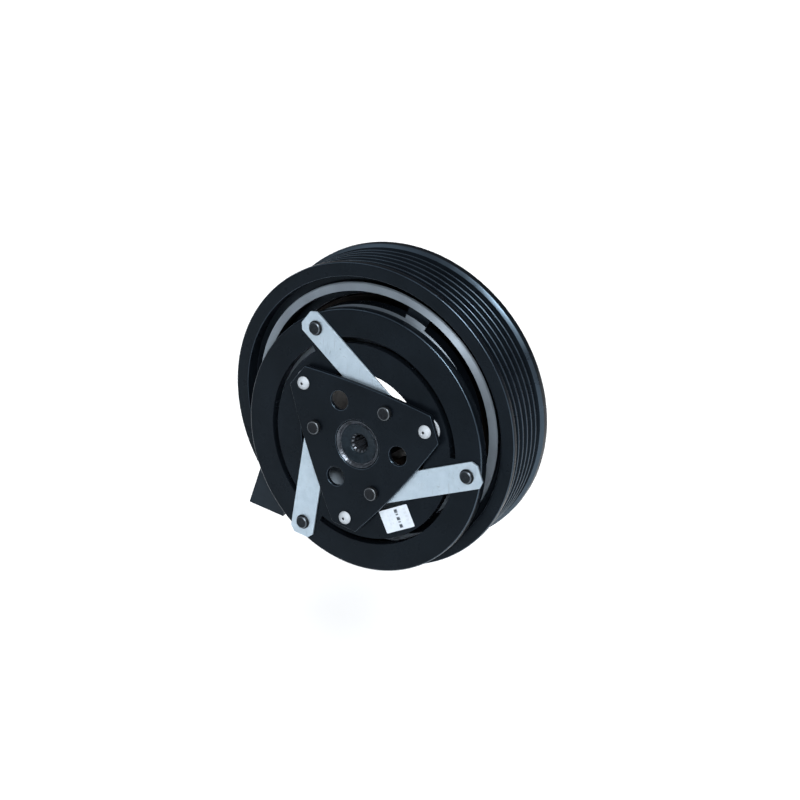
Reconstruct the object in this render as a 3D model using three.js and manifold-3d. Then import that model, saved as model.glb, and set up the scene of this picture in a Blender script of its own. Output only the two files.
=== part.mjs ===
// Electromagnetic clutch for an automotive air-conditioning compressor.
// Millimetres, +Z up. The pulley turns about the Y axis, its front lip lies in the plane y = 0
// and the compressor is on the +Y side. The hub and armature stand loose in front of the pulley,
// dropped and tipped in the bearing bore, as the set looks before it is fitted to a shaft.
import * as THREE from "three";
import { mergeVertices } from "three/addons/utils/BufferGeometryUtils.js";
import Module from "manifold-3d";

const wasm = await Module();
wasm.setup();

// Driving dimensions
const RIB_PITCH = 3.56; // standard poly-V rib pitch
const GROOVES = 6;
const PULLEY = {
  width: 27.4,
  lipOuter: 62.6,
  lipInner: 57.1,
  crest: 61.8,
  grooveBottom: 58.9,
  firstGroove: 4.2,
  flangeRadius: 63.1,
  faceDepth: 3.35, // the friction face, behind the lip
  faceOuter: 53.8,
  reliefDepth: 6,
  slotOuter: 50.4,
  slotInner: 45.1,
  webRear: 8.4,
  channelOuter: 50.9,
  channelInner: 35.2,
  bearingSeat: 31.1,
  slots: 4,
  bridgeAngle: 11,
  firstBridge: 66,
};
const BEARING = {
  bore: 20,
  outer: 30.8,
  front: 4.9,
  rear: 25.1,
  pitchRadius: 25.75,
  ball: 3.1,
  balls: 9,
};
const COIL = { outer: 50.3, inner: 35.8, front: 11.8, rear: 27.7, wall: 3.6 };
const MOUNT_PLATE = { front: 28, rear: 30.6, outer: 57, inner: 27, holes: 4, holeCircle: 48 };
const ARMATURE = { outer: 52.9, hole: 28.2, slotInner: 39.4, slotOuter: 41.8, thickness: 4.1 };
const HUB_PLATE = { front: -2.9, rear: -1, corner: 36.7, cornerHalfAngle: 8.6, bulge: 1.2 };
const SPRING = { front: -0.9, rear: -0.1, width: 10.7, outerEnd: 5.9, innerEnd: 5.5, chamfer: 2.1 };
const BOSS = { outer: 9.6, flange: 12.5, rear: 20.5, shimSeat: 17.3, shimSeatRadius: 7.4 };
const SPLINE = { teeth: 14, tip: 3.2, root: 3.9 };
const OUTER_RIVETS = { circle: 47.45, angle: -2.7 };
const INNER_RIVETS = { circle: 19.86, angle: 52.15 };
const STOPPERS = { circle: 32.1, angle: 22.2, flange: 4.9, stem: 1.8 };
const PLATE_HOLES = { circle: 18.3, angle: -1.4, radius: 3.9 };
const RIVET_SHANK = 2.2;
const HOLE_CLEARANCE = 0.3;

// Where the loose hub lies: the centre of the armature's front face, and its small tilt
const HUB_PLACE = new THREE.Vector3(-0.19, -5.8, -8.05);
const HUB_TILT_X = -4.53;
const HUB_TILT_Z = -1.14;
const SHIM_CENTRE = 18.3; // along the hub's own axis, the pivot of its tilt

const ROUND = 36; // facets round a large ring
const THIRDS = [0, 120, 240];

const metal = (color, roughness) =>
  new THREE.MeshStandardMaterial({ color, roughness, metalness: 0.9 });
const coat = (color, roughness) =>
  new THREE.MeshStandardMaterial({ color, roughness, metalness: 0.1 });
const BLACK_STEEL = coat(0x161b22, 0.45);
const BARE_STEEL = metal(0xb9bfc6, 0.35);
const ZINC = metal(0xaab6c2, 0.4);
const RIVET_STEEL = metal(0x59636d, 0.4);
const COPPER = metal(0xb56b3c, 0.35);
const RESIN = coat(0x2a2520, 0.6);
const BLACK_PLASTIC = coat(0x20262d, 0.6);
const PALE_RUBBER = coat(0xc9ccce, 0.8);
const SEAL_RUBBER = coat(0x2b1b14, 0.8);
const BRASS = metal(0xc7a252, 0.35);
const PAPER = coat(0xe9eaec, 0.7);

const polar = (radius, degrees) => {
  const angle = THREE.MathUtils.degToRad(degrees);
  return [radius * Math.cos(angle), radius * Math.sin(angle)];
};

// A ring or disc about the Y axis from its [radius, y] outline, which runs either way round.
function turned(outline, segments = ROUND) {
  const points = outline.map(([radius, y]) => new THREE.Vector2(radius, y));
  if (THREE.ShapeUtils.area(points) < 0) points.reverse();
  const onAxis = points[0].x === 0 && points[points.length - 1].x === 0;
  if (!onAxis) points.push(points[0].clone());
  return new THREE.LatheGeometry(points, segments);
}

// A turned piece that has no bore: its outline starts and ends on the axis.
function turnedSolid(outline, segments) {
  const points = outline.map(([radius, y]) => new THREE.Vector2(radius, y));
  return new THREE.LatheGeometry(points, segments);
}

// A flat piece: a shape drawn in X and Z, from its front plane to its rear plane.
function slab(shape, front, rear, curveSegments = 6) {
  const geometry = new THREE.ExtrudeGeometry(shape, {
    depth: rear - front,
    bevelEnabled: false,
    curveSegments,
  });
  geometry.rotateX(Math.PI / 2);
  geometry.translate(0, rear, 0);
  return geometry;
}

const outlineShape = (corners) => new THREE.Shape(corners.map(([x, z]) => new THREE.Vector2(x, z)));

// A straight round bar along Y, for pins and for drilling holes.
function bar(radius, x, z, front, rear, segments = 12) {
  const geometry = new THREE.CylinderGeometry(radius, radius, rear - front, segments);
  geometry.translate(x, (front + rear) / 2, z);
  return geometry;
}

// A sector of a ring between two angles, for cutting curved slots.
function ringSector(inner, outer, startAngle, endAngle, front, rear) {
  const steps = Math.max(3, Math.ceil((endAngle - startAngle) / 7.5));
  const angleAt = (i) => startAngle + ((endAngle - startAngle) * i) / steps;
  const outerEdge = Array.from({ length: steps + 1 }, (_, i) => polar(outer, angleAt(i)));
  const innerEdge = Array.from({ length: steps + 1 }, (_, i) => polar(inner, angleAt(steps - i)));
  return slab(outlineShape([...outerEdge, ...innerEdge]), front, rear);
}

function toSolid(geometry) {
  const bare = geometry.clone();
  bare.deleteAttribute("normal");
  bare.deleteAttribute("uv");
  const merged = mergeVertices(bare, 1e-4);
  return new wasm.Manifold(
    new wasm.Mesh({
      numProp: 3,
      vertProperties: merged.attributes.position.array,
      triVerts: new Uint32Array(merged.index.array),
    }),
  );
}

function fromSolid(solid) {
  const mesh = solid.getMesh();
  const geometry = new THREE.BufferGeometry();
  geometry.setAttribute("position", new THREE.BufferAttribute(mesh.vertProperties, 3));
  geometry.setIndex(new THREE.BufferAttribute(mesh.triVerts, 1));
  geometry.computeVertexNormals();
  return geometry;
}

const cut = (body, tools) =>
  fromSolid(tools.reduce((solid, tool) => solid.subtract(toSolid(tool)), toSolid(body)));
const join = (pieces) => fromSolid(pieces.map(toSolid).reduce((solid, piece) => solid.add(piece)));

const part = new THREE.Group();
const hub = new THREE.Group();
hub.position.copy(HUB_PLACE);
hub.rotation.set(
  THREE.MathUtils.degToRad(HUB_TILT_X),
  0,
  THREE.MathUtils.degToRad(HUB_TILT_Z),
  "ZYX",
);
part.add(hub);

function add(group, name, geometry, material) {
  const mesh = new THREE.Mesh(geometry, material);
  mesh.name = name;
  group.add(mesh);
  return mesh;
}

// Pulley and rotor in one piece: ribbed rim, friction face with curved slots, bearing bore.
function pulleyOutline() {
  const grooves = [];
  for (let i = 0; i < GROOVES; i += 1) {
    const middle = PULLEY.firstGroove + RIB_PITCH * i;
    grooves.push([PULLEY.crest, middle - 1.5], [PULLEY.grooveBottom, middle - 0.35]);
    grooves.push([PULLEY.grooveBottom, middle + 0.35], [PULLEY.crest, middle + 1.5]);
  }
  const rear = PULLEY.width;
  return [
    [PULLEY.lipInner, 0.4],
    [PULLEY.lipInner + 0.4, 0],
    [PULLEY.lipOuter - 0.4, 0],
    [PULLEY.lipOuter, 0.4],
    [PULLEY.lipOuter, 2.1],
    ...grooves,
    [PULLEY.flangeRadius, 24.4],
    [PULLEY.flangeRadius, rear - 0.4],
    [PULLEY.flangeRadius - 0.4, rear],
    [PULLEY.channelOuter, rear],
    [PULLEY.channelOuter, PULLEY.webRear],
    [PULLEY.channelInner, PULLEY.webRear],
    [PULLEY.channelInner, rear - 0.4],
    [PULLEY.channelInner - 0.4, rear],
    [PULLEY.bearingSeat, rear],
    [PULLEY.bearingSeat, rear - 0.5],
    [PULLEY.bearingSeat + 1, rear - 0.5],
    [PULLEY.bearingSeat + 1, BEARING.rear + 0.4],
    [PULLEY.bearingSeat, BEARING.rear + 0.4],
    [PULLEY.bearingSeat, BEARING.front - 0.3],
    [PULLEY.bearingSeat - 1.6, BEARING.front - 0.3],
    [PULLEY.bearingSeat - 1.6, PULLEY.faceDepth],
    [PULLEY.faceOuter - 0.6, PULLEY.faceDepth],
    [PULLEY.faceOuter, PULLEY.faceDepth + 0.6],
    [PULLEY.faceOuter, PULLEY.reliefDepth],
    [PULLEY.lipInner, PULLEY.reliefDepth],
  ];
}

function pulleyRotor() {
  const pitch = 360 / PULLEY.slots;
  const slots = Array.from({ length: PULLEY.slots }, (_, i) => {
    const bridge = PULLEY.firstBridge + pitch * i;
    const start = bridge + PULLEY.bridgeAngle / 2;
    const end = bridge + pitch - PULLEY.bridgeAngle / 2;
    return ringSector(PULLEY.slotInner, PULLEY.slotOuter, start, end, 2, PULLEY.webRear + 1);
  });
  return cut(turned(pulleyOutline()), slots);
}

add(part, "pulley_rotor", pulleyRotor(), BLACK_STEEL);

// Snap ring that keeps the bearing in the rotor, split at one side
function bearingSnapRing() {
  const inner = BEARING.outer - 2.2;
  const outer = PULLEY.bearingSeat + 0.7;
  return ringSector(inner, outer, 98, 442, BEARING.rear + 0.6, BEARING.rear + 1.6);
}

add(part, "bearing_snap_ring", bearingSnapRing(), RIVET_STEEL);

// Ball bearing: two grooved rings, cage, balls and two seals
const bearingMiddle = (BEARING.front + BEARING.rear) / 2;
const RACE_DEPTH = BEARING.ball + 0.3;
const INNER_RING_OUTER = 23.6;
const OUTER_RING_INNER = 27.9;

const ballGroove = (side) =>
  [-2.6, -1.4, 1.4, 2.6].map((along) => {
    const depth = Math.sqrt(RACE_DEPTH ** 2 - along ** 2);
    return [BEARING.pitchRadius + side * depth, bearingMiddle + along];
  });

add(
  part,
  "bearing_inner_ring",
  turned([
    [BEARING.bore, BEARING.front + 0.5],
    [BEARING.bore + 0.5, BEARING.front],
    [INNER_RING_OUTER, BEARING.front],
    ...ballGroove(-1),
    [INNER_RING_OUTER, BEARING.rear],
    [BEARING.bore + 0.5, BEARING.rear],
    [BEARING.bore, BEARING.rear - 0.5],
  ]),
  BARE_STEEL,
);
add(
  part,
  "bearing_outer_ring",
  turned([
    [BEARING.outer, BEARING.front],
    [BEARING.outer, BEARING.rear],
    [OUTER_RING_INNER, BEARING.rear],
    ...ballGroove(1).reverse(),
    [OUTER_RING_INNER, BEARING.front],
  ]),
  BARE_STEEL,
);

function bearingSeal(front) {
  const inner = INNER_RING_OUTER + 0.3;
  const outer = OUTER_RING_INNER - 0.3;
  return turned([
    [inner, front],
    [outer, front],
    [outer, front + 1],
    [inner, front + 1],
  ]);
}

add(part, "bearing_front_seal", bearingSeal(BEARING.front + 0.4), SEAL_RUBBER);
add(part, "bearing_rear_seal", bearingSeal(BEARING.rear - 1.4), SEAL_RUBBER);

function ballAt(radius, index) {
  const [x, z] = polar(BEARING.pitchRadius, (360 / BEARING.balls) * index);
  return new THREE.SphereGeometry(radius, 8, 6).translate(x, bearingMiddle, z);
}

function ballCage() {
  const ring = turned(
    [
      [BEARING.pitchRadius - 0.6, bearingMiddle - 4.5],
      [BEARING.pitchRadius + 0.6, bearingMiddle - 4.5],
      [BEARING.pitchRadius + 0.6, bearingMiddle + 4.5],
      [BEARING.pitchRadius - 0.6, bearingMiddle + 4.5],
    ],
    24,
  );
  const pockets = Array.from({ length: BEARING.balls }, (_, i) => ballAt(BEARING.ball + 0.4, i));
  return cut(ring, pockets);
}

add(part, "ball_cage", ballCage(), RESIN);
for (let i = 0; i < BEARING.balls; i += 1) {
  add(part, `bearing_ball_${i + 1}`, ballAt(BEARING.ball, i), BARE_STEEL);
}

// Field coil: steel cup, bobbin, winding and resin cap, all inside the rotor's channel
function coilHousing() {
  const { outer, inner, front, rear, wall } = COIL;
  return turned([
    [outer, front],
    [outer, rear],
    [inner, rear],
    [inner, front],
    [inner + wall, front],
    [inner + wall, rear - wall],
    [outer - wall, rear - wall],
    [outer - wall, front],
  ]);
}

function coilBobbin() {
  const inner = COIL.inner + COIL.wall + 0.3;
  const outer = COIL.outer - COIL.wall - 0.3;
  const front = COIL.front + 1.5;
  const rear = COIL.rear - COIL.wall - 0.3;
  return turned([
    [inner, front],
    [outer, front],
    [outer, front + 1],
    [inner + 1, front + 1],
    [inner + 1, rear - 1],
    [outer, rear - 1],
    [outer, rear],
    [inner, rear],
  ]);
}

const plainRing = (inner, outer, front, rear, segments = ROUND) =>
  turned(
    [
      [inner, front],
      [outer, front],
      [outer, rear],
      [inner, rear],
    ],
    segments,
  );

add(part, "coil_housing", coilHousing(), BLACK_STEEL);
add(part, "coil_bobbin", coilBobbin(), BLACK_PLASTIC);
add(part, "coil_winding", plainRing(41, 46.1, 14.6, 22.5), COPPER);
add(part, "potting_resin", plainRing(39.7, 46.4, COIL.front + 0.2, COIL.front + 1.2), RESIN);

// Flat steel plate that carries the coil and bolts to the compressor's nose flange
function coilMountingPlate() {
  const { front, rear, outer, inner, holes, holeCircle } = MOUNT_PLATE;
  const drills = Array.from({ length: holes }, (_, i) => {
    const [x, z] = polar(holeCircle, 45 + (360 / holes) * i);
    return bar(3.2, x, z, front - 1, rear + 1);
  });
  return cut(plainRing(inner, outer, front, rear), drills);
}

add(part, "coil_mounting_plate", coilMountingPlate(), BLACK_STEEL);

// Connector: a moulded socket beside the pulley's rear edge, mouth downwards, on an arm that
// reaches over the mounting plate. Its outline is drawn in X and Z.
const SOCKET = {
  front: 27.8,
  rear: 42,
  mouthLeft: [-79.3, -69],
  mouthRight: [-61.6, -71.6],
  topRight: [-57.2, -41.9],
  topLeft: [-69.7, -42.7],
  cavityWidth: 12,
  cavityDepth: 10.4,
  cavityLength: 15,
  cavityAcross: 1.4,
};
const mouthMiddle = [
  (SOCKET.mouthLeft[0] + SOCKET.mouthRight[0]) / 2,
  (SOCKET.mouthLeft[1] + SOCKET.mouthRight[1]) / 2,
];
const mouthAngle = Math.atan2(
  SOCKET.mouthRight[1] - SOCKET.mouthLeft[1],
  SOCKET.mouthRight[0] - SOCKET.mouthLeft[0],
);
const socketMiddleY = (SOCKET.front + SOCKET.rear) / 2;

// A box placed in the socket: across the mouth, along the depth Y, and from the mouth inwards.
function socketBox(width, depth, from, to, across = 0, middleY = socketMiddleY) {
  const geometry = new THREE.BoxGeometry(width, depth, to - from);
  geometry.translate(across, 0, (from + to) / 2);
  geometry.rotateY(-mouthAngle);
  geometry.translate(mouthMiddle[0], middleY, mouthMiddle[1]);
  return geometry;
}

function connectorHousing() {
  const { front, rear, mouthLeft, mouthRight, topRight, topLeft } = SOCKET;
  const shell = slab(outlineShape([mouthLeft, mouthRight, topRight, topLeft]), front, rear);
  const armOuter = [topRight, [-53.5, -24.5], [-61, -24.5], topLeft];
  const armFoot = [[-54.6, -44], [-38, -31], [-42, -19.5], [-62, -24.6], [-66, -38]];
  const arm = slab(outlineShape(armOuter), front, 36);
  const foot = slab(outlineShape(armFoot), MOUNT_PLATE.rear + 0.4, 36);
  const clearRim = plainRing(20, MOUNT_PLATE.outer + 0.5, 20, MOUNT_PLATE.rear + 0.3);
  const { cavityWidth, cavityDepth, cavityLength, cavityAcross } = SOCKET;
  const cavity = socketBox(cavityWidth, cavityDepth, -3, cavityLength, cavityAcross);
  return cut(join([shell, arm, foot]), [clearRim, cavity]);
}

add(part, "connector_housing", connectorHousing(), BLACK_PLASTIC);
[-3.1, 3.1].forEach((offset, i) => {
  const across = SOCKET.cavityAcross + offset;
  const blade = socketBox(2.8, 0.8, 4, SOCKET.cavityLength - 0.3, across, socketMiddleY + 2.6);
  add(part, `connector_terminal_${i + 1}`, blade, BRASS);
});

// Armature plate: two rings joined by three bridges under the outer rivets
function armaturePlate() {
  const { outer, hole, slotInner, slotOuter, thickness } = ARMATURE;
  const disc = turned([
    [hole + 0.4, 0],
    [outer - 0.4, 0],
    [outer, 0.4],
    [outer, thickness],
    [hole, thickness],
    [hole, 0.4],
  ]);
  const tools = THIRDS.flatMap((turn) => {
    const middle = OUTER_RIVETS.angle + turn;
    const [x, z] = polar(OUTER_RIVETS.circle, middle);
    return [
      ringSector(slotInner, slotOuter, middle + 7, middle + 113, -1, thickness + 1),
      bar(RIVET_SHANK + HOLE_CLEARANCE, x, z, -1, thickness + 1, 10),
    ];
  });
  return cut(disc, tools);
}

add(hub, "armature_plate", armaturePlate(), BLACK_STEEL);

// Hub plate: a triangle with cut corners and slightly bowed sides
function hubPlateShape() {
  const { corner, cornerHalfAngle, bulge } = HUB_PLATE;
  const points = THIRDS.flatMap((turn) => {
    const middle = STOPPERS.angle + turn;
    const near = polar(corner, middle + cornerHalfAngle);
    const far = polar(corner, middle + 120 - cornerHalfAngle);
    const [outX, outZ] = polar(1, middle + 60);
    const side = [0.25, 0.5, 0.75].map((t) => {
      const out = bulge * 4 * t * (1 - t);
      return [
        near[0] + (far[0] - near[0]) * t + outX * out,
        near[1] + (far[1] - near[1]) * t + outZ * out,
      ];
    });
    return [polar(corner, middle - cornerHalfAngle), near, ...side];
  });
  return outlineShape(points);
}

function hubPlate() {
  const { front, rear } = HUB_PLATE;
  const drill = (radius, { circle, angle }, segments) =>
    THIRDS.map((turn) => {
      const [x, z] = polar(circle, angle + turn);
      return bar(radius, x, z, front - 1, rear + 1, segments);
    });
  return cut(slab(hubPlateShape(), front, rear), [
    bar(BOSS.outer + HOLE_CLEARANCE, 0, 0, front - 1, rear + 1, 28),
    ...drill(PLATE_HOLES.radius, PLATE_HOLES, 14),
    ...drill(RIVET_SHANK + HOLE_CLEARANCE, INNER_RIVETS, 10),
    ...drill(STOPPERS.stem + HOLE_CLEARANCE, STOPPERS, 10),
  ]);
}

add(hub, "hub_plate", hubPlate(), BLACK_STEEL);

// Splined boss, swaged into the plate in front and counterbored for the shims behind
function splinedBore() {
  const corners = [];
  const pitch = 360 / SPLINE.teeth;
  for (let i = 0; i < SPLINE.teeth; i += 1) {
    const angle = pitch * i;
    corners.push(polar(SPLINE.tip, angle - pitch * 0.24), polar(SPLINE.tip, angle + pitch * 0.24));
    corners.push(polar(SPLINE.root, angle + pitch * 0.34), polar(SPLINE.root, angle + pitch * 0.66));
  }
  return slab(outlineShape(corners), -4, BOSS.rear + 1);
}

function hubBoss() {
  const { outer, flange, rear, shimSeat, shimSeatRadius } = BOSS;
  const blank = turned(
    [
      [2.8, -1.3],
      [3.9, -1.3],
      [4.3, -1.7],
      [7.8, -2.2],
      [8.2, -1.5],
      [8.6, -1.5],
      [9.3, -2.9],
      [outer, -2.9],
      [outer, -0.7],
      [flange, -0.7],
      [flange, 2.5],
      [outer + 0.1, 2.5],
      [outer + 0.1, rear - 0.6],
      [outer - 0.5, rear],
      [shimSeatRadius, rear],
      [shimSeatRadius, shimSeat],
      [2.8, shimSeat],
    ],
    28,
  );
  return cut(blank, [splinedBore()]);
}

add(hub, "hub_boss", hubBoss(), BLACK_STEEL);

// Leaf spring: from a rivet beside the boss to a rivet on the armature's outer ring
function leafSpring(turn) {
  const inner = polar(INNER_RIVETS.circle, INNER_RIVETS.angle + turn);
  const outer = polar(OUTER_RIVETS.circle, OUTER_RIVETS.angle + 120 + turn);
  const length = Math.hypot(outer[0] - inner[0], outer[1] - inner[1]);
  const along = [(outer[0] - inner[0]) / length, (outer[1] - inner[1]) / length];
  const place = (s, t) => [
    inner[0] + along[0] * s - along[1] * t,
    inner[1] + along[1] * s + along[0] * t,
  ];
  const half = SPRING.width / 2;
  const start = -SPRING.innerEnd;
  const end = length + SPRING.outerEnd;
  const { chamfer } = SPRING;
  const shape = outlineShape([
    place(start, -half + chamfer),
    place(start + chamfer, -half),
    place(end - chamfer, -half),
    place(end, -half + chamfer),
    place(end, half - chamfer),
    place(end - chamfer, half),
    place(start + chamfer, half),
    place(start, half - chamfer),
  ]);
  [inner, outer].forEach(([x, z]) => {
    const hole = new THREE.Path().absarc(x, z, RIVET_SHANK + HOLE_CLEARANCE, 0, Math.PI * 2, true);
    shape.holes.push(hole);
  });
  return slab(shape, SPRING.front, SPRING.rear, 5);
}

// Rivet outlines run from the front pole of the head to the rear pole of the shank.
const INNER_RIVET_OUTLINE = [
  [0, 1.2],
  [3.1, 1.2],
  [3.1, 0.2],
  [RIVET_SHANK, 0.2],
  [RIVET_SHANK, -3],
  [2.75, -3],
  [2.6, -4.5],
  [2.2, -4.7],
  [0, -4.5],
];
const OUTER_RIVET_OUTLINE = [
  [0, 3.9],
  [RIVET_SHANK, 3.9],
  [RIVET_SHANK, -1],
  [2.95, -1],
  [2.75, -2.2],
  [2.2, -2.4],
  [0, -2.3],
];
const STOPPER_OUTLINE = [
  [0, -0.1],
  [STOPPERS.flange, -0.1],
  [STOPPERS.flange, -0.85],
  [STOPPERS.stem, -0.85],
  [STOPPERS.stem, -3],
  [2.65, -3],
  [2.5, -3.8],
  [1.7, -4.4],
  [0, -4.7],
];

function atCircle(geometry, { circle, angle }, turn) {
  const [x, z] = polar(circle, angle + turn);
  return geometry.translate(x, 0, z);
}

THIRDS.forEach((turn, i) => {
  const number = i + 1;
  const innerRivet = turnedSolid([...INNER_RIVET_OUTLINE].reverse(), 10);
  const outerRivet = turnedSolid([...OUTER_RIVET_OUTLINE].reverse(), 10);
  const stopper = turnedSolid([...STOPPER_OUTLINE].reverse(), 10);
  add(hub, `leaf_spring_${number}`, leafSpring(turn), ZINC);
  add(hub, `inner_rivet_${number}`, atCircle(innerRivet, INNER_RIVETS, turn), RIVET_STEEL);
  add(hub, `outer_rivet_${number}`, atCircle(outerRivet, OUTER_RIVETS, turn), RIVET_STEEL);
  add(hub, `rubber_stopper_${number}`, atCircle(stopper, STOPPERS, turn), PALE_RUBBER);
});

// Blank paper label on the armature's inner ring
function armatureLabel() {
  const label = new THREE.BoxGeometry(13.7, 0.15, 9.3);
  label.rotateY(THREE.MathUtils.degToRad(-27.5));
  return label.translate(17.5, -0.13, -27.6);
}

add(hub, "armature_label", armatureLabel(), PAPER);

// Air-gap shims in the boss's rear counterbore: the front one stays square to the shaft
const shim = (front) => plainRing(5.3, 6.7, front, front + 0.5, 16);
const pivot = new THREE.Vector3(0, SHIM_CENTRE, 0).applyEuler(hub.rotation).add(HUB_PLACE);
add(part, "air_gap_shim_1", shim(-0.25), BARE_STEEL).position.copy(pivot);
add(hub, "air_gap_shim_2", shim(SHIM_CENTRE + 1.1), BARE_STEEL);

export default part;
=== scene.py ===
# Looks of the electromagnetic clutch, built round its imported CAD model.
# Outlines are in millimetres, in the model's frame: the pulley turns about Y, front towards -Y, +Z up.
from math import atan2, cos, degrees, hypot, pi, radians, sin, tau

import bmesh
import bpy
from mathutils import Euler, Matrix, Vector
from mathutils.geometry import tessellate_polygon


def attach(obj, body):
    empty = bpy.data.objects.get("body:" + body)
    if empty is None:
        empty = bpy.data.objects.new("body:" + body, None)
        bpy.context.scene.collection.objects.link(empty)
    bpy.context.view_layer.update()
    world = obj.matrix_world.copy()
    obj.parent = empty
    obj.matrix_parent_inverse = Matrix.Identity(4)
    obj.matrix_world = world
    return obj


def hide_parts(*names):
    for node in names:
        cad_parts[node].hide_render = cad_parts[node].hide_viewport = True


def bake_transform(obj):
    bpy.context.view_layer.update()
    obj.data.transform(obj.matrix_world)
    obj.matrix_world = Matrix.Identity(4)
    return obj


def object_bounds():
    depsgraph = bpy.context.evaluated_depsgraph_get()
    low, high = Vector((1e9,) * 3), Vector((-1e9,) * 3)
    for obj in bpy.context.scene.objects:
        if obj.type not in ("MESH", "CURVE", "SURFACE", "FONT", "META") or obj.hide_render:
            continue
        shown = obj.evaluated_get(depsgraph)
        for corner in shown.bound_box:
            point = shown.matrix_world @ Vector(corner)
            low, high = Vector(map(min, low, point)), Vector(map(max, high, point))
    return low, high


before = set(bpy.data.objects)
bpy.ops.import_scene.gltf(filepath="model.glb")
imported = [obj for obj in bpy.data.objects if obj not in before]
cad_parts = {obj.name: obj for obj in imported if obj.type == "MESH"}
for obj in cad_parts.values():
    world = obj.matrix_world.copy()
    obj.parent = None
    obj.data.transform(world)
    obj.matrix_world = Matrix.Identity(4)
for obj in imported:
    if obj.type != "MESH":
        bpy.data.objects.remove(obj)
cad_low, cad_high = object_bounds()

MM = 0.001
THIRDS = (0, 120, 240)

# ---------------------------------------------------------------- outlines


def polar(radius, angle):
    return (radius * cos(radians(angle)), radius * sin(radians(angle)))


def rounded(points, radius, steps=4, closed=True):
    """The polygon with its corners rounded; a point may carry its own radius as a third number."""
    out = []
    n = len(points)
    for i, p in enumerate(points):
        if not closed and i in (0, n - 1):
            out.append((p[0], p[1]))
            continue
        r = p[2] if len(p) > 2 else radius
        here = Vector(p[:2])
        to_last = Vector(points[i - 1][:2]) - here
        to_next = Vector(points[(i + 1) % n][:2]) - here
        turn = pi - to_last.angle(to_next, pi)
        if r <= 0 or turn < radians(8):
            out.append(tuple(here))
            continue
        reach = min(r * abs(turn) / 2 if turn < 1 else r, to_last.length * 0.45, to_next.length * 0.45)
        a = here + to_last.normalized() * reach
        b = here + to_next.normalized() * reach
        for k in range(steps + 1):
            t = k / steps
            out.append(tuple(a * (1 - t) ** 2 + here * 2 * t * (1 - t) + b * t * t))
    return out


def clip(points, limit, keep_outside):
    """The part of a closed (radius, y) outline on one side of a radius."""
    out = []
    side = 1 if keep_outside else -1
    for i, a in enumerate(points):
        b = points[(i + 1) % len(points)]
        da, db = side * (a[0] - limit), side * (b[0] - limit)
        if da >= 0:
            out.append(a)
        if da * db < 0:
            t = da / (da - db)
            out.append((limit, a[1] + (b[1] - a[1]) * t))
    return out


def with_points_at(points, limits):
    """The outline with a point added wherever it crosses one of the radii."""
    out = []
    for i, a in enumerate(points):
        b = points[(i + 1) % len(points)]
        out.append(a)
        cuts = [(limit - a[0]) / (b[0] - a[0]) for limit in limits if (a[0] - limit) * (b[0] - limit) < 0]
        out += [(a[0] + (b[0] - a[0]) * t, a[1] + (b[1] - a[1]) * t) for t in sorted(cuts)]
    return out


# ---------------------------------------------------------------- skins: (vertices, faces) in mm


def lathe(outline, segments=192, span=(0, 360), closed=True):
    full = span[1] - span[0] >= 360
    rows = segments if full else segments + 1
    n = len(outline)
    verts = []
    for i in range(rows):
        a = radians(span[0] + (span[1] - span[0]) * i / segments)
        verts += [(r * cos(a), y, r * sin(a)) for r, y in outline]
    faces = []
    for i in range(segments):
        k = (i + 1) % rows
        for j in range(n if closed else n - 1):
            m = (j + 1) % n
            faces.append((i * n + j, i * n + m, k * n + m, k * n + j))
    return verts, faces


def slotted(outline, inner, outer, spans, step=1.5, bridge=None):
    """A turned body cut through between two radii over each (start, end) span.

    bridge is its outline between the spans.
    """
    full = with_points_at(outline, (inner, outer))
    between = with_points_at(bridge or outline, (inner, outer))
    web = clip(clip(between, outer, False), inner, True)
    skins = []
    for i, (start, end) in enumerate(spans):
        steps = max(2, round((end - start) / step))
        skins.append(lathe(clip(full, outer, True), steps, (start, end)))
        skins.append(lathe(clip(full, inner, False), steps, (start, end)))
        following = spans[(i + 1) % len(spans)][0] + (360 if i == len(spans) - 1 else 0)
        skins.append(lathe(between, max(2, round((following - end) / step)), (end, following)))
        for angle in (start, end):
            corners = [(polar(r, angle), y) for r, y in web]
            skins.append(([(p[0], y, p[1]) for p, y in corners], [tuple(range(len(web)))]))
    return joined(skins)


def joined(skins):
    verts, faces = [], []
    for v, f in skins:
        base = len(verts)
        verts += v
        faces += [tuple(base + k for k in face) for face in f]
    return verts, faces


def loft(rings, caps=(True, True)):
    """Closed rings of 3-D points, joined one to the next."""
    n = len(rings[0])
    verts = [p for ring in rings for p in ring]
    faces = []
    for i in range(len(rings) - 1):
        for j in range(n):
            m = (j + 1) % n
            faces.append((i * n + j, i * n + m, (i + 1) * n + m, (i + 1) * n + j))
    if caps[0]:
        faces.append(tuple(range(n)))
    if caps[1]:
        faces.append(tuple(range(len(verts) - n, len(verts))))
    return verts, faces


def inset(loop, distance):
    out = []
    n = len(loop)
    for i in range(n):
        a, b, c = Vector(loop[i - 1]), Vector(loop[i]), Vector(loop[(i + 1) % n])
        u, v = (b - a).normalized(), (c - b).normalized()
        left_u, left_v = Vector((-u.y, u.x)), Vector((-v.y, v.x))
        middle = (left_u + left_v).normalized()
        out.append(tuple(b + middle * distance / max(0.4, middle.dot(left_u))))
    return out


def area(loop):
    return sum(a[0] * b[1] - b[0] * a[1] for a, b in zip(loop, loop[1:] + loop[:1])) / 2


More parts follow.
